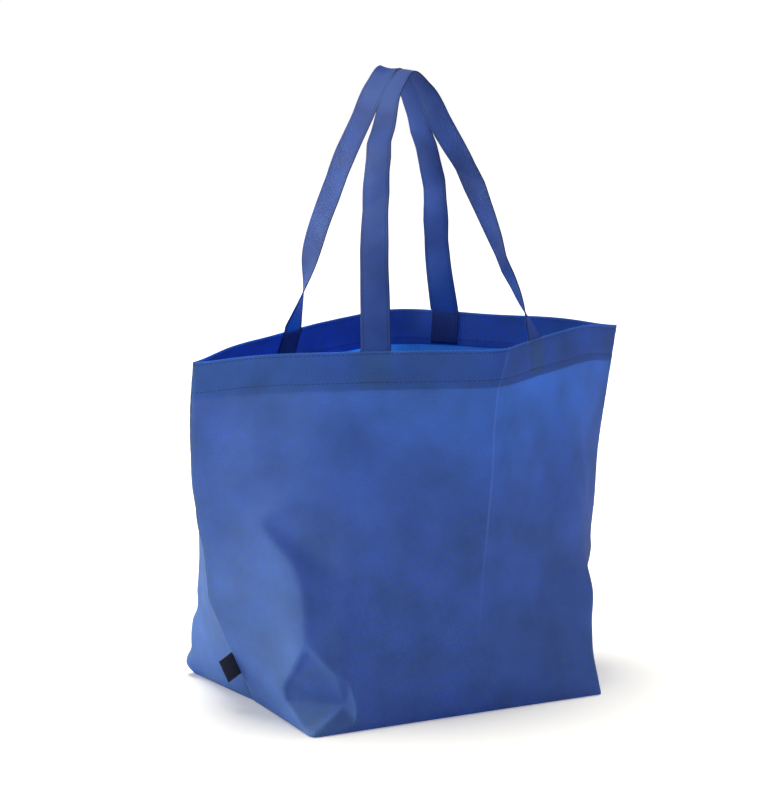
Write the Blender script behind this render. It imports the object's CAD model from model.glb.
# %% [markdown]
# # A shopping bag of non-woven fabric
#
# The bag is thin cloth: one folded sheet for the body, two strips for the handles and a small label.
# Each piece is lofted here as a closed sheet with a real thickness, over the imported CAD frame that
# gives it its place. Fabric like this lets light through, which is most of its look, so the layers
# are modelled where they really lie and the light does the rest.

# %% Load the frame
import math

import bmesh
import bpy
import numpy as np
from mathutils import Matrix, Vector, noise


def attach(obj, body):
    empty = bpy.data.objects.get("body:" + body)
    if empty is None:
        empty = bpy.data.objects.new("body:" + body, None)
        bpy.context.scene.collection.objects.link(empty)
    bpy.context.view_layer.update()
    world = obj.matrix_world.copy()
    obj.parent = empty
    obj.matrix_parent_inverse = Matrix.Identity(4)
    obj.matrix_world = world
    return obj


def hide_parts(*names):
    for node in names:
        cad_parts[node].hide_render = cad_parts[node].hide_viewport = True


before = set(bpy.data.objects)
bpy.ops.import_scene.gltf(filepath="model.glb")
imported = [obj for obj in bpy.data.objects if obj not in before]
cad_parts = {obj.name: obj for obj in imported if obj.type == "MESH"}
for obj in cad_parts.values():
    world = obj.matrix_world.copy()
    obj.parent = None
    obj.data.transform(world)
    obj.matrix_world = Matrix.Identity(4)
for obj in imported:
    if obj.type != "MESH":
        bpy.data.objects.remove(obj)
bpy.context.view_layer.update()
print("CAD nodes:", sorted(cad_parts))

# %% [markdown]
# ## The shape of the standing bag
#
# A place on the cloth is two lengths: how far round the bag from the left side seam, and how far up
# from the ground. The bag's shape is a stack of plan outlines, one for each of a few heights up the
# cloth, with smooth curves between them.

# %% The cut of the cloth, and the plan outlines
MM = 0.001
BASE_LENGTH, BASE_DEPTH = 315 * MM, 240 * MM
PANEL_HEIGHT, HEM, FABRIC = 353 * MM, 36 * MM, 0.6 * MM
SIDE, PANEL_WIDTH = BASE_DEPTH / 2, BASE_LENGTH + BASE_DEPTH
ROUND = 2 * PANEL_WIDTH
AROUND = np.array((0, SIDE, 292 * MM, PANEL_WIDTH - SIDE, PANEL_WIDTH, PANEL_WIDTH + SIDE,
                   PANEL_WIDTH + 235 * MM, ROUND - SIDE, ROUND))
SEAMS = (0, 4)
KNEE = 122 * MM

# For each height: the plan of eight corners from the left seam round by the front, and how far from
# each corner the cloth starts to turn. The second and fourth are the front corners.
OUTLINES = {
    0: (((-154, 12), (-157, -121), (15, -121), (157, -121),
         (157, 0), (157, 121), (42, 123), (-168, 132)), (0, 10, 50, 4, 0, 6, 50, 8)),
    45: (((-175.5, 3), (-156, -119), (17, -125), (152, -116),
          (183, 4), (158, 120), (43, 126), (-175, 124)), (0, 20, 50, 12, 0, 16, 50, 12)),
    80: (((-190.5, 1), (-154, -114), (19, -127), (157, -102),
          (201, 7), (157, 118), (44, 128), (-171, 118)), (0, 24, 50, 16, 0, 22, 50, 15)),
    122: (((-207, 0), (-151, -106), (21, -129), (157, -88),
           (219.5, 10), (157, 112), (45, 131), (-168, 112)), (0, 30, 45, 22, 0, 30, 55, 18)),
    180: (((-213, -1), (-144, -99), (26, -130), (156, -84),
           (228, 15), (159, 106), (47, 133), (-168, 103)), (0, 42, 38, 34, 0, 40, 52, 22)),
    235: (((-224, -1), (-138, -82), (31, -132), (158, -67),
           (235, 18), (158, 98), (49, 134), (-148, 84)), (0, 55, 34, 45, 0, 50, 50, 45)),
    353: (((-222, -2), (-126, -62), (37, -134), (157, -50),
           (252, 15), (151, 79), (60, 138), (-118, 55)), (0, 55, 22, 50, 0, 50, 32, 32)),
}
LEVELS = np.array(list(OUTLINES)) * MM
PLANS = np.array([plan for plan, _ in OUTLINES.values()]) * MM
TURNS = np.array([turn for _, turn in OUTLINES.values()]) * MM

# How far the cloth has sagged by the knee and by the rim, and how far off that has halved.
SAGS = {
    0: (11 * MM, 12 * MM, 55 * MM),
    PANEL_WIDTH: (10 * MM, 15 * MM, 55 * MM),
    PANEL_WIDTH + SIDE: (0, 5 * MM, 70 * MM),
    ROUND - SIDE: (0, 3 * MM, 50 * MM),
}
print("cloth round the bag:", round(ROUND / MM), "mm; levels:", list(OUTLINES))


# %% From a place on the cloth to a point in space
def hermite(low, high, start, end, t):
    """The cubic from low to high that leaves with one slope and arrives with another."""
    rise = high - low
    return low + start * t + (3 * rise - 2 * start - end) * t**2 + (start + end - 2 * rise) * t**3


def between(values, height, kinked):
    """A smooth curve through values given at the levels, which may turn sharply at the knee."""
    slopes = np.diff(values) / np.diff(LEVELS)
    i = int(np.clip(np.searchsorted(LEVELS, height, "right") - 1, 0, len(slopes) - 1))
    span = LEVELS[i + 1] - LEVELS[i]

    def tangent(level, own):
        if level in (0, len(slopes)) or (kinked and math.isclose(LEVELS[level], KNEE)):
            return slopes[own] * span
        return (slopes[level - 1] + slopes[level]) / 2 * span

    return hermite(values[i], values[i + 1], tangent(i, i), tangent(i + 1, i), (height - LEVELS[i]) / span)


def outline(height, arounds):
    """Plan points of the bag at one height up the cloth, for many lengths round it."""
    plan = np.array([[between(PLANS[:, corner, axis], height, corner in SEAMS) for axis in (0, 1)]
                     for corner in range(8)])
    turns = np.array([np.interp(height, LEVELS, TURNS[:, corner]) for corner in range(8)])
    arounds = np.mod(arounds, ROUND)
    side = np.clip(np.searchsorted(AROUND, arounds, "right") - 1, 0, 7)
    after = (side + 1) % 8
    share = (arounds - AROUND[side]) / (AROUND[side + 1] - AROUND[side])
    length = np.linalg.norm(plan[after] - plan[side], axis=1)
    points = plan[side] + (plan[after] - plan[side]) * share[:, None]
    for corner, gap, ahead in ((side, share * length, 1), (after, (1 - share) * length, -1)):
        middle = plan[corner]
        back, on = plan[corner - 1] - middle, plan[(corner + 1) % 8] - middle
        far_back, far_on = np.linalg.norm(back, axis=1), np.linalg.norm(on, axis=1)
        reach = np.maximum(np.minimum(turns[corner], np.minimum(far_back, far_on) / 2), 1e-9)
        t = 0.5 + ahead * gap / (2 * reach)
        bent = middle + back * (reach / far_back * (1 - t)**2)[:, None] + on * (reach / far_on * t**2)[:, None]
        points = np.where((gap < reach)[:, None], bent, points)
    return points


def sag(arounds, height):
    """How much lower the cloth hangs than its length would reach."""
    drop = 0
    for middle, (knee, rim, reach) in SAGS.items():
        away = np.abs((arounds - middle + PANEL_WIDTH) % ROUND - PANEL_WIDTH)
        drop = drop + np.interp(height, (0, KNEE, PANEL_HEIGHT), (0, knee, rim)) / (1 + (away / reach)**2)
    return drop


def smooth_shape(arounds, heights):
    """Points on the outside of the undented bag and outward directions, row by row."""
    nudge = 2 * MM
    grids = np.empty((3, len(heights), len(arounds), 3))
    for row, height in enumerate(heights):
        for grid, shift in zip(grids, (-nudge, 0, nudge)):
            grid[row, :, :2] = outline(height, arounds + shift)
            grid[row, :, 2] = height - sag(arounds + shift, height)
    up = np.gradient(grids[1], np.array(heights), axis=0)
    out = np.cross(grids[2] - grids[0], up)
    return grids[1], out / np.linalg.norm(out, axis=2, keepdims=True)


corner_point, corner_out = smooth_shape(np.array([SIDE]), np.array([179, 180, 181]) * MM)
print("front left corner, 180 mm up the cloth, mm:", np.round(corner_point[1, 0] / MM, 1))

# %% [markdown]
# ## Creases and dents
#
# What makes it cloth is small: the corner that was crushed, soft hollows, a fold line down the
# front, the pull of the stitches, and a slight unevenness everywhere. Most of them move the surface
# in or out along its own normal, by a few millimetres. The crushed corner is pushed in further, and
# its facets are flat.

# %% How far each place is pushed in or out
# Where the front corner was crushed it has flat facets. Each fan is a ring of places on the cloth, a
# middle, how far the middle is pushed in, in millimetres, and how soft its folds are.
CRUSH_WAY = np.array((0.75, 0.65, 0))
CRUSH_FANS = (
    (((111, 86), (90, 60), (70, 40), (70, 24), (102, 3), (120, 3), (150, 3), (166, 8), (166, 24), (158, 50), (144, 60)),
     (146, 23), 17, 1.5),
    (((60, 200), (72, 186), (96, 165), (108, 138), (112, 116), (111, 86), (144, 60), (158, 50), (200, 75), (222, 115),
      (218, 165), (190, 205), (150, 222), (100, 222)), (152, 140), 12, 4),
)

# Soft dents: middle and half size in cloth millimetres, and how far the middle moves outwards.
DENTS = (
    ((990, 14), (30, 18), 7), ((990, 78), (24, 18), -4), ((215, 95), (70, 60), -3), ((760, 190), (120, 90), -5),
    ((1095, 108), (30, 15), -3), ((0, 195), (40, 25), 2.5), ((0, 310), (40, 55), 1.5),
    ((555, 98), (35, 44), 5.0), ((438, 100), (40, 34), 4.2), ((205, 215), (60, 45), 1.6), ((240, 150), (50, 60), -1.4),
    ((345, 230), (45, 70), 1.4), ((380, 110), (60, 50), -1.6), ((60, 250), (40, 60), 1.2), ((60, 215), (45, 22), -2.0), ((130, 285), (45, 45), 1.6), ((235, 292), (40, 26), 1.4),
    ((470, 160), (45, 90), -1.5), ((620, 160), (50, 80), -2.0), ((880, 230), (70, 70), 2.0),
)

# The old fold line down the front, from near the base to the rim.
FOLD_UP = (80, 153, 195, 237, 276, 315, 353)
FOLD_AT = (291, 291, 291, 291, 289, 291, 303)

RIM_ROW = PANEL_HEIGHT - 3 * MM
LOW_ROW = PANEL_HEIGHT - HEM + 7 * MM


def fan_facets(places, middle, corners, centre, a, h):
    """Points on a fan's flat facets, and how far inside the ring each one is: 0 on it, 1 at the middle."""
    spokes = places - middle
    x, y = a - middle[0], h - middle[1]
    points, inside = np.zeros((*x.shape, 3)), np.zeros(x.shape)
    for i, (spoke, after) in enumerate(zip(spokes, np.roll(spokes, -1, axis=0))):
        area = spoke[0] * after[1] - spoke[1] * after[0]
        first = (x * after[1] - y * after[0]) / area
        second = (spoke[0] * y - spoke[1] * x) / area
        facet = (first >= -1e-9) & (second >= -1e-9)
        to_first, to_second = corners[i] - centre, corners[(i + 1) % len(corners)] - centre
        found = centre + first[..., None] * to_first + second[..., None] * to_second
        points = np.where(facet[..., None], found, points)
        inside = np.where(facet, 1 - first - second, inside)
    return points, inside


def crushed(a, h, base):
    """How the crushed corner moves each point of the base grid, as vectors."""
    moved = np.zeros(base.shape)
    for ring, middle, depth, soft in CRUSH_FANS:
        places = np.array([*ring, middle]) * MM
        corners = np.array([smooth_shape(place[:1], place[1] + np.array((-1, 0, 1)) * MM)[0][1, 0] for place in places])
        centre = corners[-1] + CRUSH_WAY * depth * MM
        total, share = 0, 0
        for x in (-soft, 0, soft):
            for y in (-soft, 0, soft):
                points, inside = fan_facets(places[:-1], places[-1], corners[:-1], centre, a + x * MM, h + y * MM)
                total, share = total + points / 9, share + np.clip(inside * 9, 0, 1) / 9
        moved += share[..., None] * (total - base)
    return moved


def fold_line(arounds, heights, half):
    """1 on the old fold line, falling to 0 at half millimetres beside it, and fading at its foot."""
    beside = np.abs(arounds / MM - np.interp(heights / MM, FOLD_UP, FOLD_AT)) / half
    return np.clip(1 - beside, 0, 1) * np.clip((heights / MM - 80) / 70, 0, 1)


def pressed(arounds, heights):
    """How far the details move the cloth outwards, in metres, for a grid of places."""
    a, h = np.meshgrid(arounds, heights)
    total = np.zeros(a.shape)
    for middle, half, push in DENTS:
        beside = np.clip(np.abs(a / MM - middle[0]) / half[0], 0, 1)
        above = np.clip(np.abs(h / MM - middle[1]) / half[1], 0, 1)
        total += push * np.cos(beside * np.pi / 2)**2 * np.cos(above * np.pi / 2)**2
    total += 0.8 * fold_line(a, h, 9)
    to_seam = np.minimum(a % PANEL_WIDTH, -a % PANEL_WIDTH)
    total -= 1.3 * np.exp(-(to_seam / (1.5 * MM))**2)
    past = np.where(a > PANEL_WIDTH * 1.5, a - ROUND, a) / MM
    step = np.clip((270 - h / MM) / 120, 0, 1) * (np.abs(past) < 60)
    total += step * np.where(past > 0, 1.4, -1.6) * np.exp(-np.abs(past) / 7) * np.clip(np.abs(past) / 0.8, 0, 1)
    total -= 0.12 * np.exp(-(to_seam / (9 * MM))**2) * (1 + np.sin(h / MM * 2 * np.pi / 13))
    for row in (RIM_ROW, LOW_ROW):
        near = np.exp(-((h - row) / (2.0 * MM))**2)
        total -= 0.32 * near * (1 + 0.5 * np.sin(a / MM * 2 * np.pi / 11 + np.sin(a / MM / 37)))
    turn = a / ROUND * 2 * np.pi
    radius = ROUND / (2 * np.pi)
    spots = np.stack([radius * np.cos(turn), radius * np.sin(turn), h], axis=-1).reshape(-1, 3)
    for size, height in ((70 * MM, 0.9), (28 * MM, 0.35)):
        rough = [noise.noise(Vector(spot / size)) for spot in spots]
        total += height * np.reshape(rough, a.shape)
    return total * MM * np.clip(h / (4 * MM), 0, 1)


def bag_surface(arounds, heights):
    """The outside of the finished bag as a grid of points and of outward directions."""
    points, out = smooth_shape(arounds, heights)
    a, h = np.meshgrid(arounds, heights)
    moved = out * pressed(arounds, heights)[..., None] + crushed(a, h, points)
    return points + moved, out


deepest = bag_surface(np.array([146 * MM]), np.array([22, 23, 24]) * MM)[0][1, 0]
print("deepest place of the crushed corner, mm:", np.round(deepest / MM))

# %% [markdown]
# ## Building closed sheets
#
# Two builders make every soft piece. One sweeps a section all the way round the bag. The other
# closes a front and a back grid of points into a thin slab. Both keep the cloth lengths as the UV
# map "cloth", in metres, so that the weave has one size on every piece.


# %% Mesh builders
def new_piece(name, points, faces, cloth, creases=None):
    """A mesh object from numpy points, faces, and a UV pair for every face corner."""
    mesh = bpy.data.meshes.new(name)
    mesh.from_pydata(np.asarray(points).tolist(), [], faces)
    layer = mesh.uv_layers.new(name="cloth")
    layer.data.foreach_set("uv", np.asarray(cloth, np.float32).ravel())
    if creases is not None:
        worn = mesh.attributes.new("crease", "FLOAT", "POINT")
        worn.data.foreach_set("value", np.asarray(creases, np.float32))
    mesh.validate()
    mesh.shade_smooth()
    obj = bpy.data.objects.new(name, mesh)
    bpy.context.scene.collection.objects.link(obj)
    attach(obj, "root")
    return obj


def slab(name, front, back, cloth):
    """A closed thin sheet from two grids of points that face each other, and the grid's cloth lengths."""
    rows, columns = front.shape[:2]
    count = rows * columns
    points = np.concatenate([front.reshape(-1, 3), back.reshape(-1, 3)])
    lengths = np.concatenate([cloth.reshape(-1, 2)] * 2)
    faces = []
    for r in range(rows - 1):
        for c in range(columns - 1):
            a = r * columns + c
            quad = (a, a + 1, a + columns + 1, a + columns)
            faces += [quad, tuple(count + i for i in reversed(quad))]
    rim = [c for c in range(columns)] + [r * columns + columns - 1 for r in range(1, rows)]
    rim += [(rows - 1) * columns + c for c in range(columns - 2, -1, -1)]
    rim += [r * columns for r in range(rows - 2, 0, -1)]
    for here, there in zip(rim, rim[1:] + rim[:1]):
        faces.append((there, here, count + here, count + there))
    return new_piece(name, points, faces, lengths[[i for face in faces for i in face]])


def turned_right(obj):
    """Faces outward: flips the mesh when its volume comes out negative."""
    made = bmesh.new()
    made.from_mesh(obj.data)
    if made.calc_volume(signed=True) < 0:
        bmesh.ops.reverse_faces(made, faces=made.faces)
    made.to_mesh(obj.data)
    made.free()
    return obj


print("builders ready")

# %% [markdown]
# ## The body of the bag
#
# The section starts on the ground, climbs the outside of the wall, rolls over the rim, and comes
# down as the hem inside, with its cut edge. Then it goes back up between hem and wall and down the
# inside of the wall to the floor. Each step is a height, and a depth inwards from the outside face.

# %% The section of wall and hem
ROLL = FABRIC + 0.025 * MM
HEM_BACK = FABRIC + 0.05 * MM


def spaced(stops):
    """Values through the stops (from, to, how many), without repeating the joints."""
    parts = [np.linspace(low, high, count, endpoint=False) for low, high, count in stops]
    return np.concatenate(parts + [[stops[-1][1]]]) * MM


foot = [(0, 2.2), (0.2, 1.0), (0.8, 0.25)]
walls = spaced(((2.2, 120, 48), (120, 316, 42), (316, 318, 1), (318, 321.5, 1), (321.5, 326.5, 4),
                (326.5, 347.5, 6), (347.5, 352.2, 4)))
section = [(h * MM, d * MM, h * MM) for h, d in foot] + [(h, 0, h) for h in walls]
for turn in np.radians((30, 60, 90, 120, 150)):
    height = PANEL_HEIGHT - ROLL + ROLL * math.sin(turn)
    section.append((height, ROLL * (1 - math.cos(turn)), PANEL_HEIGHT + ROLL * (turn - math.pi / 2)))
hem_down = spaced(((352.2, 347.5, 3), (347.5, 326.5, 5), (326.5, 321.5, 3), (321.5, 317.3, 2)))
section += [(h, 2 * ROLL, 2 * PANEL_HEIGHT - h) for h in hem_down]
section += [(317 * MM, 2 * ROLL - 0.15 * MM, 389 * MM), (317 * MM, HEM_BACK + 0.1 * MM, 389.4 * MM)]
section += [(h * MM, HEM_BACK, (706 - h) * MM) for h in (317.4, 327, 338, 350.5)]
section += [(352.2 * MM, FABRIC + 0.02 * MM, 352.2 * MM)]
section += [(h, FABRIC, h) for h in spaced(((350.5, 316, 6), (316, 120, 34), (120, 3, 36)))]
section += [(1.6 * MM, 0.85 * MM, 1.6 * MM), (0.8 * MM, 1.6 * MM, 0.8 * MM), (0.6 * MM, 2.6 * MM, 0.6 * MM)]

half = np.concatenate([[0, 0.8, 1.8, 3.2], np.linspace(6, 120, 33)])[:-1]
side_low = np.concatenate([half, [120]])
front = np.concatenate([np.linspace(120, 180, 25), np.linspace(180, 276, 25)[1:],
                        np.linspace(276, 308, 17)[1:], np.linspace(308, 435, 37)[1:]])
back = np.linspace(0, 315, 101)
columns = np.concatenate([
    side_low[:-1], front[:-1], 555 - side_low[::-1][:-1],
    555 + side_low[:-1], 675 + back[:-1], 1110 - side_low[::-1][:-1]]) * MM
print("section steps:", len(section), " columns round the bag:", len(columns))


# %% Loft the body and fill its floor
def floor_grid(ring, start, across, deep):
    """Index grid of the ring's points round the floor's edge, and the inner points between them."""
    around = len(ring)
    front_line = [(start + i) % around for i in range(across + 1)]
    right_line = [(start + across + i) % around for i in range(deep + 1)]
    back_line = [(start + 2 * across + deep - i) % around for i in range(across + 1)]
    left_line = [(start - i) % around for i in range(deep + 1)]
    u = np.linspace(0, 1, across + 1)[None, :, None]
    v = np.linspace(0, 1, deep + 1)[:, None, None]
    low, high = ring[front_line][None], ring[back_line][None]
    west, east = ring[left_line][:, None], ring[right_line][:, None]
    bend = (1 - v) * ((1 - u) * low[:, :1] + u * low[:, -1:]) + v * ((1 - u) * high[:, :1] + u * high[:, -1:])
    net = (1 - v) * low + v * high + (1 - u) * west + u * east - bend
    return net, (front_line, right_line, back_line, left_line)


def bag_shell():
    """The closed mesh of the body: points, faces, cloth lengths, and how far right of the fold line, in mm."""
    heights = np.array([step[0] for step in section])
    depths = np.array([step[1] for step in section])
    lengths = np.array([step[2] for step in section])
    levels, which = np.unique(np.round(heights, 7), return_inverse=True)
    points, out = bag_surface(columns, levels)
    rings = points[which] - out[which] * depths[:, None, None]
    rows, around = rings.shape[:2]
    all_points = [rings.reshape(-1, 3)]
    edges = np.append(columns, ROUND)
    faces, cloth = [], []
    for r in range(rows - 1):
        for c in range(around):
            on = (c + 1) % around
            faces.append((r * around + c, r * around + on, (r + 1) * around + on, (r + 1) * around + c))
            cloth += [(edges[c], lengths[r]), (edges[c + 1], lengths[r]),
                      (edges[c + 1], lengths[r + 1]), (edges[c], lengths[r + 1])]
    start, across, deep = len(side_low) - 1, len(front) - 1, 2 * (len(side_low) - 1)
    total = rows * around
    for ring_row, upward in ((0, False), (rows - 1, True)):
        net, (low, east, high, west) = floor_grid(rings[ring_row], start, across, deep)
        edge = np.minimum.outer(np.minimum(np.arange(deep + 1), deep - np.arange(deep + 1)),
                                np.minimum(np.arange(across + 1), across - np.arange(across + 1)))
        rise = [0.9 + noise.noise(Vector((x, y, 0)) / 0.05) for x, y, _ in net.reshape(-1, 3)]
        net[..., 2] += np.reshape(rise, edge.shape) * 1.1 * MM * np.clip(edge / 8, 0, 1)
        index = np.full(edge.shape, -1)
        index[0], index[-1] = low, high
        index[:, 0], index[:, -1] = west, east
        inner = np.argwhere(index < 0)
        index[index < 0] = np.arange(len(inner))
        index[1:-1, 1:-1] += total
        index[0], index[-1], index[:, 0], index[:, -1] = low, high, west, east
        index[[0, -1]] += ring_row * around
        index[1:-1, [0, -1]] += ring_row * around
        all_points.append(net[1:-1, 1:-1].reshape(-1, 3))
        total += len(inner)
        for r in range(deep):
            for c in range(across):
                quad = [(r, c), (r, c + 1), (r + 1, c + 1), (r + 1, c)]
                quad = quad if upward else quad[::-1]
                faces.append(tuple(int(index[spot]) for spot in quad))
                cloth += [(net[spot][0] + 0.28, -0.12 - net[spot][1]) for spot in quad]
    places, ups = np.meshgrid(columns, lengths)
    beside = places / MM - np.interp(ups / MM, FOLD_UP, FOLD_AT)
    beside[ups < 70 * MM] = 99
    worn = np.concatenate([beside.ravel(), np.full(total - beside.size, 99)])
    return np.concatenate(all_points), faces, cloth, worn


body = turned_right(new_piece("bag", *bag_shell()))
body.data.set_sharp_from_angle(angle=math.radians(60))
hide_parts("bag_body")
print("bag faces:", len(body.data.polygons))

# %% [markdown]
# ## The handles
#
# A handle is a strip folded flat. Both of its ends lie against the inside of the hem, and between
# them it follows a curve in space while it turns about itself.

# %% The run of each handle
HANDLE_WIDTH, HANDLE_THICK, GAP = 28 * MM, 1.2 * MM, 0.35 * MM
# Stops along the middle line in millimetres, with the turn of the width in degrees from +X to +Y.
FRONT_LOOP = (
    (-60, -59, 442, -48), (-47, -37, 504, -60), (-30, -20, 553, -69), (-12, -8, 588, -84),
    (4, -5, 602, -90), (17, -8, 587, -78), (29, -19, 555, -62), (46, -32, 518, -66),
    (60, -44, 480, -73), (76, -62, 424, -94), (87, -76, 386, -106))
BACK_LOOP = (
    (-74, 66, 386, 62), (-69, 61, 420, 98), (-56, 50, 474, 106), (-42, 43, 515, 111),
    (-26, 36, 553, 109), (-13, 29, 586, 110), (0, 27, 602, 111), (17, 31, 589, 108),
    (36, 41, 558, 108), (57, 56, 516, 113), (74, 72, 464, 118), (88, 92, 404, 126))
FRONT_ENDS = (176 * MM, 362 * MM)
BACK_ENDS = (ROUND - 158 * MM, PANEL_WIDTH + 177 * MM)
# Kinks across a strip: where along it in mm from the left end, how far out, how far they reach, and
# how much further along they lie at the strip's right edge than at its left.
FRONT_KINKS = ((232, 2.8, 14, 0), (176, -2.2, 20, 14), (120, 1.4, 22, -18), (430, 1.8, 20, 22), (520, -1.6, 18, -12))
BACK_KINKS = ((180, 1.4, 28, 16), (390, 2.2, 20, 12), (455, -2.2, 22, 16), (505, 1.8, 20, -14))
ACROSS = np.array((-14, -13.8, -13.2, -12.2, -11.4, -10.6, -8, -5, -2, 1, 4, 7, 9.5, 10.6, 11.4, 12.2, 13.2, 13.8, 14)) * MM
EDGE = np.sqrt(np.clip(1 - ((np.abs(ACROSS) / MM - 13) / 1.0).clip(0)**2, 0.02, 1))
PRESSED_LINE = np.exp(-((np.abs(ACROSS) / MM - 11.4) / 0.5)**2)


def smooth_line(stops, step):
    """Points every step along a smooth curve through the stops, each a vector of any length."""
    stops = np.array(stops, float)
    gaps = np.linalg.norm(np.diff(stops[:, :3], axis=0), axis=1)
    at = np.concatenate([[0], np.cumsum(gaps)])
    slopes = np.gradient(stops, at, axis=0)
    line = []
    for i, gap in enumerate(gaps):
        count = max(1, round(gap / step))
        for t in np.arange(count) / count:
            line.append(hermite(stops[i], stops[i + 1], slopes[i] * gap, slopes[i + 1] * gap, t))
    return np.array(line + [stops[-1]])


def direction(turn):
    return np.array((math.cos(math.radians(turn)), math.sin(math.radians(turn)), 0))


def sewn_end(place, turn):
    """Middle points, widths and rows of a strip's end on the hem, from its cut edge to the rim."""
    heights = np.linspace(PANEL_HEIGHT - HEM + 2 * MM, PANEL_HEIGHT, 13)
    grid, out = bag_surface(place + ACROSS, heights)
    rows = grid - out * (2 * ROLL + GAP + HANDLE_THICK / 2)
    width = rows[-1, -1] - rows[-1, 0]
    return rows if np.dot(width, direction(turn)) > 0 else rows[:, ::-1]


def strip_rows(ends, stops, kinks):
    """The middle layer of a strip as a grid of points, its normals, and the length along it."""
    first, last = sewn_end(ends[0], stops[0][3]), sewn_end(ends[1], stops[-1][3])
    line = [(*np.array(stop[:3]) * MM, *direction(stop[3])) for stop in stops]
    middle = len(ACROSS) // 2
    for place, end in ((0, first), (len(line) + 1, last)):
        line.insert(place, (*end[-1][middle], *((end[-1][-1] - end[-1][0]) / HANDLE_WIDTH)))
    curve = smooth_line(line, 3 * MM)
    tangents = np.gradient(curve[:, :3], axis=0)
    rows = list(first)
    for point, tangent in zip(curve[1:-1], tangents[1:-1]):
        along = Vector(tangent).normalized()
        width = Vector(point[3:])
        width = (width - along * width.dot(along)).normalized()
        rows.append(point[:3] + np.array(width) * ACROSS[:, None])
    rows = np.array(rows + list(last[::-1]))
    steps = np.linalg.norm(np.diff(rows[:, middle], axis=0), axis=1)
    along = np.concatenate([[0], np.cumsum(steps)])
    normals = np.cross(np.gradient(rows, axis=1), np.gradient(rows, axis=0))
    normals /= np.linalg.norm(normals, axis=2, keepdims=True)
    free = np.clip((along - 45 * MM) / (25 * MM), 0, 1) * np.clip((along[-1] - 45 * MM - along) / (25 * MM), 0, 1)
    shift = np.zeros(rows.shape[:2])
    for at, out, reach, slant in kinks:
        away = np.abs(along[:, None] / MM - at - slant * ACROSS / HANDLE_WIDTH) / reach
        shift += out * np.clip(1 - away, 0, 1)
    wander = [noise.noise(Vector((step * 14, step * 3, len(kinks)))) for step in along]
    shift += 1.1 * (np.array(wander)[:, None] + 0.25) * (1 - (ACROSS / (14 * MM))**2)
    return rows + normals * (shift * free[:, None])[..., None] * MM, normals, along


def handle(name, node, ends, stops, kinks):
    """A folded strip: thick over its middle, rounded at its edges, with a pressed line by each."""
    rows, normals, along = strip_rows(ends, stops, kinks)
    half_thick = HANDLE_THICK / 2 * (EDGE - 0.28 * PRESSED_LINE)
    cloth = np.stack(np.meshgrid(ACROSS, along), axis=-1)
    made = slab(name, rows + normals * half_thick[:, None], rows - normals * half_thick[:, None], cloth)
    turned_right(made)
    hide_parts(node)
    print(name, "cloth length, mm:", round(along[-1] / MM))
    return made


front_strip = handle("front_strap", "front_handle", FRONT_ENDS, FRONT_LOOP, FRONT_KINKS)
back_strip = handle("back_strap", "back_handle", BACK_ENDS, BACK_LOOP, BACK_KINKS)

# %% [markdown]
# ## The label and the seam allowances
#
# The label is a folded scrap of black satin that stands out of the left seam. Inside the bag, the
# cut edges of each seam lie folded over against the back panel.

# %% Label
LABEL_LOW, LABEL_LONG, LABEL_OUT, LABEL_THICK = 36 * MM, 25 * MM, 17.5 * MM, 0.5 * MM
ups = np.linspace(LABEL_LOW, LABEL_LOW + LABEL_LONG, 14)
seam_line = bag_surface(np.array([0.0]), ups)[0][:, 0]
seam_along = Vector(seam_line[-1] - seam_line[0]).normalized()
away = Matrix.Rotation(math.radians(10), 3, seam_along) @ seam_along.cross((0, 1, 0)).normalized()
outs = np.concatenate([[0.2], np.linspace(1.5, 16.4, 9), [17.1, 17.4, 17.5]]) * MM
facing = np.array(away.cross(seam_along))
curl = 0.9 * MM * (outs / LABEL_OUT)**2
middle_layer = seam_line[:, None] + outs[:, None] * np.array(away) + curl[:, None] * facing
label_half = LABEL_THICK / 2 * np.sqrt(np.clip(1 - ((outs / MM - 17.2) / 0.3).clip(0)**2, 0.05, 1))[:, None]
label = slab("side_tag", middle_layer + facing * label_half, middle_layer - facing * label_half,
             np.stack(np.meshgrid(outs, ups), axis=-1))
turned_right(label)
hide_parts("side_label")
print("label, mm:", round(LABEL_OUT / MM, 1), "by", round(LABEL_LONG / MM, 1))


# %% Seam allowances
def allowance(name, arounds, heights, wavy):
    """Two cut edges lying together on the inside of the wall."""
    points, out = bag_surface(arounds, heights)
    lift = 0.25 * MM + wavy * MM * (1 + np.sin(heights / MM / 9))[:, None] * np.linspace(0, 1, len(arounds))
    near = points - out * (FABRIC + 0.15 * MM + lift)[..., None]
    far = points - out * (3 * FABRIC + 0.2 * MM + lift)[..., None]
    return turned_right(slab(name, near, far, np.stack(np.meshgrid(arounds, heights), axis=-1)))


tall = spaced(((9, 314, 60),))
allowances = [
    allowance("left_allowance", -np.linspace(0.4, 8.5, 5) * MM, tall, 0.5),
    allowance("right_allowance", PANEL_WIDTH + np.linspace(0.4, 8.5, 5) * MM, tall, 0.5),
    allowance("left_base_allowance", np.linspace(-112, 112, 57) * MM, spaced(((1.8, 8.5, 3),)), 0.1),
    allowance("right_base_allowance", PANEL_WIDTH + np.linspace(-112, 112, 57) * MM, spaced(((1.8, 8.5, 3),)), 0.1),
]
print("allowances:", [piece.name for piece in allowances])

# %% [markdown]
# ## Stitches
#
# One stitch is a small rounded pill. It is copied along each row, and lies half sunk in the cloth
# the way a pulled thread does.

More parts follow.
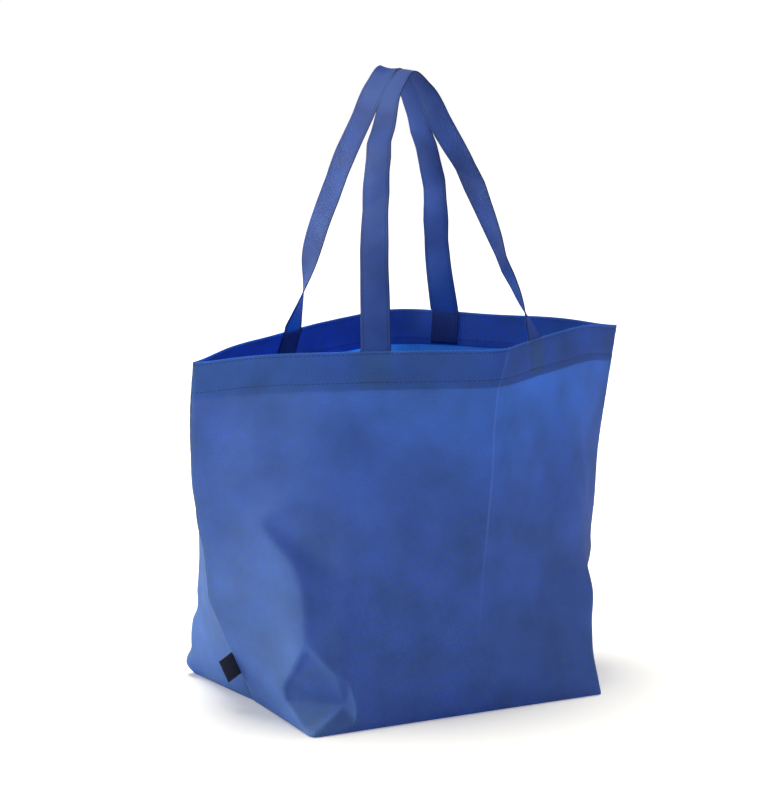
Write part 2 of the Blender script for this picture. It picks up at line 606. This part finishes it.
# %% One stitch, and rows of it
bpy.ops.object.select_all(action="DESELECT")
bpy.ops.mesh.primitive_uv_sphere_add(segments=6, ring_count=5, radius=1)
pill = bpy.context.object
pill.rotation_euler = (0, math.radians(90), 0)
bpy.ops.object.transform_apply(location=False, rotation=True, scale=False)
pill.scale = (1.75 * MM, 0.24 * MM, 0.2 * MM)
bpy.ops.object.transform_apply(location=False, rotation=False, scale=True)
PILL = np.array([vertex.co for vertex in pill.data.vertices])
PILL_FACES = [tuple(face.vertices) for face in pill.data.polygons]
bpy.data.objects.remove(pill)


def sew(name, rows):
    """Stitches along rows, each given as (lengths round the bag, height up the cloth, depth inwards)."""
    points, faces = [], []
    for arounds, height, depth in rows:
        spots, out = bag_surface(arounds, np.array([height - MM, height, height + MM]))
        ahead, _ = bag_surface(arounds + MM, np.array([height - MM, height, height + MM]))
        place = spots[1] - out[1] * depth
        along = ahead[1] - spots[1]
        along /= np.linalg.norm(along, axis=1, keepdims=True)
        across = np.cross(out[1], along)
        for spot, x, y, z in zip(place, along, across, out[1]):
            base = len(points) * len(PILL)
            faces += [tuple(base + i for i in face) for face in PILL_FACES]
            points.append(spot + PILL @ np.array([x, y, z]))
    count = sum(len(face) for face in faces)
    made = new_piece(name, np.concatenate(points), faces, np.zeros((count, 2)))
    print(name, "stitches:", len(points))
    return made


PITCH = 4.4 * MM
every = np.arange(2.2 * MM, ROUND - 1 * MM, PITCH)
strap_spots = [place + np.arange(-12.5, 12.6, 4.1) * MM for place in (*FRONT_ENDS, *BACK_ENDS)]
over_strap = np.zeros(len(every), bool)
for place in (*FRONT_ENDS, *BACK_ENDS):
    over_strap |= np.abs(every - place % ROUND) < HANDLE_WIDTH / 2 + 1 * MM
inside, on_strap = 2 * ROLL, 2 * ROLL + GAP + HANDLE_THICK
rows = []
for height in (RIM_ROW, LOW_ROW):
    rows.append((every, height, -0.02 * MM))
    rows.append((every[~over_strap], height, inside + 0.02 * MM))
    rows.append((every[over_strap], height, on_strap + 0.02 * MM))
    for spots in strap_spots:
        rows.append((spots, height + 0.9 * MM, -0.02 * MM))
        rows.append((spots, height + 0.9 * MM, on_strap + 0.02 * MM))
stitches = sew("hem_stitching", rows)

# %% [markdown]
# ## What each sheet was before it was sewn
#
# The body was one sheet as wide as the flat panel. It was as long as both walls with their hems, and
# the floor between them. Each handle was sewn down from a strip folded to its width.

# %% [markdown]
# ## Materials
#
# The fabric is pressed with a fine grid of diamonds, about 1.7 mm apart along each diagonal. The
# fibres lie unevenly, so the cloth is a little cloudy. Light goes through it: each face passes some
# of the light on, so two layers of cloth are darker than one, as they are in the photograph.


# %% Node helpers and the woven pattern
def add(tree, kind, values=(), **settings):
    """A node with its settings and input values. A value that is a socket gets linked."""
    node = tree.nodes.new(kind)
    for key, value in settings.items():
        setattr(node, key, value)
    for key, value in dict(values).items():
        if isinstance(value, bpy.types.NodeSocket):
            tree.links.new(value, node.inputs[key])
        else:
            node.inputs[key].default_value = value
    return node


def maths(tree, operation, *values):
    return add(tree, "ShaderNodeMath", dict(enumerate(values)), operation=operation).outputs[0]


def blend_colour(tree, factor, first, second, mode="MIX"):
    return add(tree, "ShaderNodeMix", {0: factor, 6: first, 7: second}, data_type="RGBA",
               blend_type=mode).outputs[2]


def fabric_group():
    """Pressed non-woven fabric, from the cloth lengths in metres: its two colours and its height."""
    group = bpy.data.node_groups.new("nonwoven", "ShaderNodeTree")
    for name, kind in (("Cloth", "NodeSocketVector"), ("Colour", "NodeSocketColor"), ("Light", "NodeSocketColor")):
        group.interface.new_socket(name, in_out="INPUT", socket_type=kind)
    for name, kind in (("Colour", "NodeSocketColor"), ("Light", "NodeSocketColor"), ("Height", "NodeSocketFloat")):
        group.interface.new_socket(name, in_out="OUTPUT", socket_type=kind)
    given = group.nodes.new("NodeGroupInput").outputs
    result = group.nodes.new("NodeGroupOutput").inputs
    turned = add(group, "ShaderNodeMapping", {"Vector": given["Cloth"], "Rotation": (0, 0, math.radians(45)),
                                              "Scale": (2 * math.pi / 0.00173,) * 3})
    axes = add(group, "ShaderNodeSeparateXYZ", {0: turned.outputs[0]}).outputs
    waves = maths(group, "ADD", maths(group, "SINE", axes[0]), maths(group, "SINE", axes[1]))
    clouds = add(group, "ShaderNodeTexNoise", {"Vector": given["Cloth"], "Scale": 20, "Detail": 6, "Roughness": 0.55})
    fibres = add(group, "ShaderNodeTexNoise", {"Vector": given["Cloth"], "Scale": 1200, "Detail": 2, "Roughness": 0.5})
    cloud = maths(group, "SUBTRACT", clouds.outputs[0], 0.5)
    fibre = maths(group, "SUBTRACT", fibres.outputs[0], 0.5)
    pressing = maths(group, "MULTIPLY", waves, maths(group, "MULTIPLY_ADD", cloud, 1.6, 1.0))
    fine = maths(group, "ADD", maths(group, "MULTIPLY", pressing, 0.17), maths(group, "MULTIPLY", fibre, 0.35))
    for name, cloudy in (("Colour", 0.7), ("Light", 0.6)):
        shade = maths(group, "ADD", maths(group, "MULTIPLY_ADD", cloud, cloudy, 1.0), fine)
        tone = add(group, "ShaderNodeVectorMath", {0: given[name], "Scale": shade}, operation="SCALE").outputs[0]
        group.links.new(tone, result[name])
    height = maths(group, "ADD", maths(group, "MULTIPLY", pressing, 0.5), maths(group, "MULTIPLY", fibre, 0.35))
    group.links.new(height, result["Height"])
    return group


NONWOVEN = fabric_group()
print("pattern group:", NONWOVEN.name)


# %% Fabric, thread and label materials
def fabric_material(name, colour, light_colour, passing, worn):
    """Cloth that reflects one colour and passes another. Worn cloth has a fold line and seams, and a strap has edges."""
    made = bpy.data.materials.new(name)
    made.use_nodes = True
    tree = made.node_tree
    shader, output = tree.nodes["Principled BSDF"], tree.nodes["Material Output"]
    cloth = add(tree, "ShaderNodeUVMap", uv_map="cloth").outputs[0]
    pattern = add(tree, "ShaderNodeGroup", node_tree=NONWOVEN)
    tree.links.new(cloth, pattern.inputs["Cloth"])
    pattern.inputs["Colour"].default_value = (*colour, 1)
    pattern.inputs["Light"].default_value = (*light_colour, 1)
    shown, through = pattern.outputs["Colour"], pattern.outputs["Light"]
    if worn:
        off_fold = maths(tree, "ABSOLUTE", add(tree, "ShaderNodeAttribute", attribute_name="crease").outputs["Fac"])
        height = add(tree, "ShaderNodeSeparateXYZ", {0: cloth}).outputs[1]
        full = add(tree, "ShaderNodeMapRange", {0: height, 1: 0.075, 2: 0.2, 3: 0.1, 4: 0.75}).outputs[0]
        line = add(tree, "ShaderNodeMapRange", {0: off_fold, 1: 0.4, 2: 1.5, 3: full, 4: 0.0}).outputs[0]
        shown = blend_colour(tree, line, shown, (0.32, 0.50, 0.84, 1))
        # Doubled cloth, from the lower edge of the hem upwards, is a deeper blue.
        doubled = add(tree, "ShaderNodeMapRange", {0: height, 1: 0.3165, 2: 0.3175, 3: 0.0, 4: 1.0}).outputs[0]
        shown = blend_colour(tree, doubled, shown, (0.68, 0.90, 1.22, 1), "MULTIPLY")
        turned_in = add(tree, "ShaderNodeMapRange", {0: height, 1: 0.3532, 2: 0.3534, 3: 0.0, 4: 1.0}).outputs[0]
        through = blend_colour(tree, turned_in, through, (0.85, 0.85, 0.82, 1), "MULTIPLY")
        to_seam = maths(tree, "PINGPONG", add(tree, "ShaderNodeSeparateXYZ", {0: cloth}).outputs[0], PANEL_WIDTH / 2)
        dark = add(tree, "ShaderNodeMapRange", {0: to_seam, 1: 0.0006, 2: 0.0026, 3: 0.7, 4: 0.0}).outputs[0]
    else:
        across = maths(tree, "ABSOLUTE", add(tree, "ShaderNodeSeparateXYZ", {0: cloth}).outputs[0])
        beside = maths(tree, "ABSOLUTE", maths(tree, "SUBTRACT", across, 0.0112))
        line = add(tree, "ShaderNodeMapRange", {0: beside, 1: 0.0002, 2: 0.0010, 3: 0.3, 4: 0.0}).outputs[0]
        edge = add(tree, "ShaderNodeMapRange", {0: across, 1: 0.0128, 2: 0.0138, 3: 0.0, 4: 0.8}).outputs[0]
        dark = maths(tree, "MAXIMUM", line, edge)
        bands = add(tree, "ShaderNodeTexNoise", {"Vector": cloth, "Scale": 15, "Detail": 3}).outputs[0]
        deep = add(tree, "ShaderNodeMapRange", {0: bands, 1: 0.42, 2: 0.6, 3: 0.0, 4: 1.0}).outputs[0]
        shown = blend_colour(tree, deep, shown, (0.52, 0.58, 0.68, 1), "MULTIPLY")
    shown = blend_colour(tree, dark, shown, (0.012, 0.035, 0.130, 1))
    through = blend_colour(tree, dark, through, (0.012, 0.035, 0.130, 1))
    tree.links.new(shown, shader.inputs["Base Color"])
    shader.inputs["Roughness"].default_value = 0.55
    shader.inputs["Specular IOR Level"].default_value = 0.4
    bump = add(tree, "ShaderNodeBump", {"Height": pattern.outputs["Height"], "Strength": 0.7, "Distance": 0.00025})
    tree.links.new(bump.outputs[0], shader.inputs["Normal"])
    glow = add(tree, "ShaderNodeBsdfTranslucent", {"Color": through})
    mixed = add(tree, "ShaderNodeMixShader", {0: passing, 1: shader.outputs[0], 2: glow.outputs[0]})
    tree.links.new(mixed.outputs[0], output.inputs["Surface"])
    return made


def give(piece, material):
    piece.data.materials.clear()
    piece.data.materials.append(material)


bag_cloth = fabric_material("bag fabric", (0.145, 0.276, 0.475), (0.130, 0.430, 0.93), 0.60, worn=True)
strap_cloth = fabric_material("strap fabric", (0.042, 0.102, 0.310), (0.080, 0.310, 0.85), 0.40, worn=False)
give(body, bag_cloth)
for piece in allowances:
    give(piece, bag_cloth)
give(front_strip, strap_cloth)
give(back_strip, strap_cloth)

thread = bpy.data.materials.new("thread")
thread.use_nodes = True
tree = thread.node_tree
place = add(tree, "ShaderNodeTexCoord").outputs["Object"]
twist = add(tree, "ShaderNodeTexNoise", {"Vector": place, "Scale": 1200, "Detail": 2}).outputs[0]
shader = tree.nodes["Principled BSDF"]
tree.links.new(blend_colour(tree, twist, (0.012, 0.035, 0.160, 1), (0.030, 0.075, 0.290, 1)), shader.inputs["Base Color"])
shader.inputs["Roughness"].default_value = 0.6
tree.links.new(add(tree, "ShaderNodeBump", {"Height": twist, "Strength": 0.4, "Distance": 0.0001}).outputs[0],
               shader.inputs["Normal"])
give(stitches, thread)

satin = bpy.data.materials.new("label satin")
satin.use_nodes = True
tree = satin.node_tree
cloth = add(tree, "ShaderNodeUVMap", uv_map="cloth").outputs[0]
axes = add(tree, "ShaderNodeSeparateXYZ", {0: cloth}).outputs
warp = maths(tree, "SINE", maths(tree, "MULTIPLY", axes[0], 2 * math.pi / 0.0004))
weft = maths(tree, "SINE", maths(tree, "MULTIPLY", axes[1], 2 * math.pi / 0.0006))
weave = maths(tree, "MULTIPLY", warp, weft)
lint = add(tree, "ShaderNodeTexNoise", {"Vector": cloth, "Scale": 400, "Detail": 3}).outputs[0]
shader = tree.nodes["Principled BSDF"]
tone = blend_colour(tree, lint, (0.012, 0.014, 0.026, 1), (0.040, 0.044, 0.066, 1))
tree.links.new(tone, shader.inputs["Base Color"])
shader.inputs["Roughness"].default_value = 0.5
tree.links.new(add(tree, "ShaderNodeBump", {"Height": weave, "Strength": 0.5, "Distance": 0.0001}).outputs[0],
               shader.inputs["Normal"])
give(label, satin)
print("materials:", [made.name for made in bpy.data.materials if made.users])

# %% [markdown]
# ## Camera, floor and light
#
# The picture was taken with a long lens from the front left, a little above the bag. The studio is
# a pale floor under soft light. The lamps at the sides, above and behind light only the bag. Much of
# their light comes through the cloth. One more lamp, high up, lights only the floor and gives the
# soft shadow.

# %% Camera
AZIMUTH, PITCH_DOWN = 0.474934, 0.191281
look = Vector((math.sin(AZIMUTH) * math.cos(PITCH_DOWN), math.cos(AZIMUTH) * math.cos(PITCH_DOWN), -math.sin(PITCH_DOWN)))
right = Vector((math.cos(AZIMUTH), -math.sin(AZIMUTH), 0))
camera = bpy.data.objects.new("camera", bpy.data.cameras.new("camera"))
bpy.context.scene.collection.objects.link(camera)
camera.matrix_world = Matrix.Translation((-1.31698, -2.52075, 0.83517)) @ Matrix(
    (right, right.cross(look), -look)).transposed().to_4x4()
camera.data.sensor_fit = "VERTICAL"
camera.data.sensor_height = 36
camera.data.lens = 135.033
camera.data.shift_x = 0
bpy.context.scene.camera = camera
print("lens, mm:", camera.data.lens)

# %% Floor and world
bpy.ops.object.select_all(action="DESELECT")
bpy.ops.mesh.primitive_plane_add(size=8, location=(0, 0, -0.0004))
floor = bpy.context.object
floor.name = "studio_floor"
paper = bpy.data.materials.new("studio paper")
paper.use_nodes = True
tree = paper.node_tree
shader = tree.nodes["Principled BSDF"]
shader.inputs["Base Color"].default_value = (0.98, 0.945, 0.85, 1)
shader.inputs["Roughness"].default_value = 0.9
shader.inputs["Specular IOR Level"].default_value = 0.1
# The paper glows a little, and more with distance, so that only the shadow under the bag is not white.
spot = add(tree, "ShaderNodeTexCoord").outputs["Object"]
distance = add(tree, "ShaderNodeVectorMath", {0: spot}, operation="LENGTH").outputs["Value"]
bright = add(tree, "ShaderNodeMapRange", {0: distance, 1: 0.35, 2: 1.1, 3: 0.33, 4: 1.0}).outputs[0]
seen = add(tree, "ShaderNodeLightPath").outputs["Is Camera Ray"]
white = add(tree, "ShaderNodeEmission", {"Color": (1, 1, 1, 1), "Strength": maths(tree, "MULTIPLY", seen, bright)})
summed = add(tree, "ShaderNodeAddShader", {0: shader.outputs[0], 1: white.outputs[0]})
tree.links.new(summed.outputs[0], tree.nodes["Material Output"].inputs["Surface"])
give(floor, paper)

world = bpy.data.worlds.new("studio")
bpy.context.scene.world = world
world.use_nodes = True
tree = world.node_tree
seen = add(tree, "ShaderNodeLightPath").outputs["Is Camera Ray"]
lit = add(tree, "ShaderNodeBackground", {"Color": (1, 1, 1, 1), "Strength": 0.18})
blank = add(tree, "ShaderNodeBackground", {"Color": (1, 1, 1, 1), "Strength": 1.0})
mixed = add(tree, "ShaderNodeMixShader", {0: seen, 1: lit.outputs[0], 2: blank.outputs[0]})
tree.links.new(mixed.outputs[0], tree.nodes["World Output"].inputs["Surface"])
print("floor and world ready")


# %% Lamps
def lamp(name, place, aim, size, power, on_floor):
    """A soft rectangular lamp that the camera doesn't see, and that lights either the floor or the bag."""
    data = bpy.data.lights.new(name, "AREA")
    data.shape, data.size, data.size_y, data.energy = "RECTANGLE", *size, power
    obj = bpy.data.objects.new(name, data)
    bpy.context.scene.collection.objects.link(obj)
    obj.location = place
    obj.rotation_euler = (Vector(aim) - Vector(place)).to_track_quat("-Z", "Y").to_euler()
    obj.visible_camera = False
    lights = bpy.data.collections.new(name + " reach")
    lights.objects.link(floor)
    lights.collection_objects[0].light_linking.link_state = "INCLUDE" if on_floor else "EXCLUDE"
    obj.light_linking.receiver_collection = lights
    return obj


lamp("left lamp", (-1.8, 0.4, 0.8), (0, 0, 0.2), (1.2, 1.4), 35, False)
lamp("back left lamp", (-1.4, 1.5, 0.9), (0, 0, 0.2), (1.2, 1.4), 30, False)
lamp("top lamp", (0.2, 1.3, 1.8), (0, 0, 0.3), (1.4, 1.0), 6, False)
lamp("back lamp", (0.7, 1.8, 0.8), (0, 0, 0.2), (1.4, 1.2), 12, False)
lamp("high lamp", (-0.3, -0.5, 2.3), (0, 0, 0.2), (1.2, 1.2), 14, False)
lamp("right lamp", (1.9, -0.4, 0.8), (0, 0, 0.2), (1.0, 1.4), 4, False)
lamp("floor lamp", (-0.05, 0.35, 2.1), (0, 0, 0), (1.3, 1.3), 52, True)
bpy.context.scene.view_settings.view_transform = "Standard"
